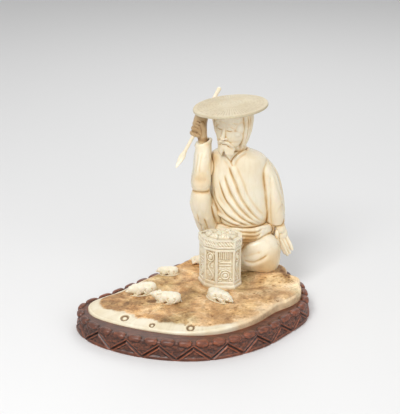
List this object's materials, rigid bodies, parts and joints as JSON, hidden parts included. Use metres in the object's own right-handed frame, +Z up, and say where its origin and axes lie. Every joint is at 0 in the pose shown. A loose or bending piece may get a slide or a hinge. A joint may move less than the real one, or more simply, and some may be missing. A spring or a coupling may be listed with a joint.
{
  "type": "okimono carving",
  "caption": "Seated man in a flat straw hat with a staff, an octagonal box and small mice, carved in sections on a tusk slab that stands in a carved hardwood base.",
  "frame": {"origin": "middle of the stand's outline, on the surface it stands on", "axes": "+X to the carving's right seen from the front, along the stand, +Y to the back, +Z up"},
  "size_m": [0.2041, 0.1783, 0.1829],
  "materials": {
    "rosewood": "hand-rubbed satin, darker in the carving",
    "tusk_bark": "mottled bark of a tusk, polished pale rim",
    "ivory": "polished, honey stain in the folds",
    "ivory_tanned": "stained brown in the grooves",
    "ivory_straw": "fine scratched straw lines",
    "ivory_pale": "carved, matt in the recesses",
    "ivory_peg": "plain turned"
  },
  "bodies": {
    "stand": {"wooden_stand": "rosewood"},
    "carving": {"tusk_slab": "tusk_bark", "robe_body": "ivory", "robe_skirt": "ivory", "left_leg": "ivory", "right_leg": "ivory", "right_foot": "ivory", "left_sleeve": "ivory", "left_hand": "ivory", "right_sleeve": "ivory", "right_hand": "ivory_tanned", "head": "ivory", "hat": "ivory_straw", "box_body": "ivory_pale", "box_rim": "ivory_pale", "box_lid": "ivory_pale", "mouse_left": "ivory_pale", "mouse_front": "ivory_pale", "mouse_back": "ivory_pale", "mouse_by_box": "ivory_pale", "neck_peg": "ivory_peg", "hat_peg": "ivory_peg", "left_wrist_peg": "ivory_peg", "right_wrist_peg": "ivory_peg", "left_shoulder_peg": "ivory_peg", "right_elbow_peg": "ivory_peg", "waist_pegs": "ivory_peg", "seat_pegs": "ivory_peg", "box_pegs": "ivory_peg", "mouse_pegs": "ivory_peg"},
    "staff": {"staff": "ivory"}
  },
  "joints": [
    {"name": "carving_lift", "type": "slide", "parent": "stand", "child": "carving", "axis": [0, 0, 1], "range_m": [0, 0.04]},
    {"name": "staff_slide", "type": "slide", "parent": "carving", "child": "staff", "axis": [0.4216, 0.6879, 0.5908], "range_m": [-0.02, 0.01]}
  ]
}
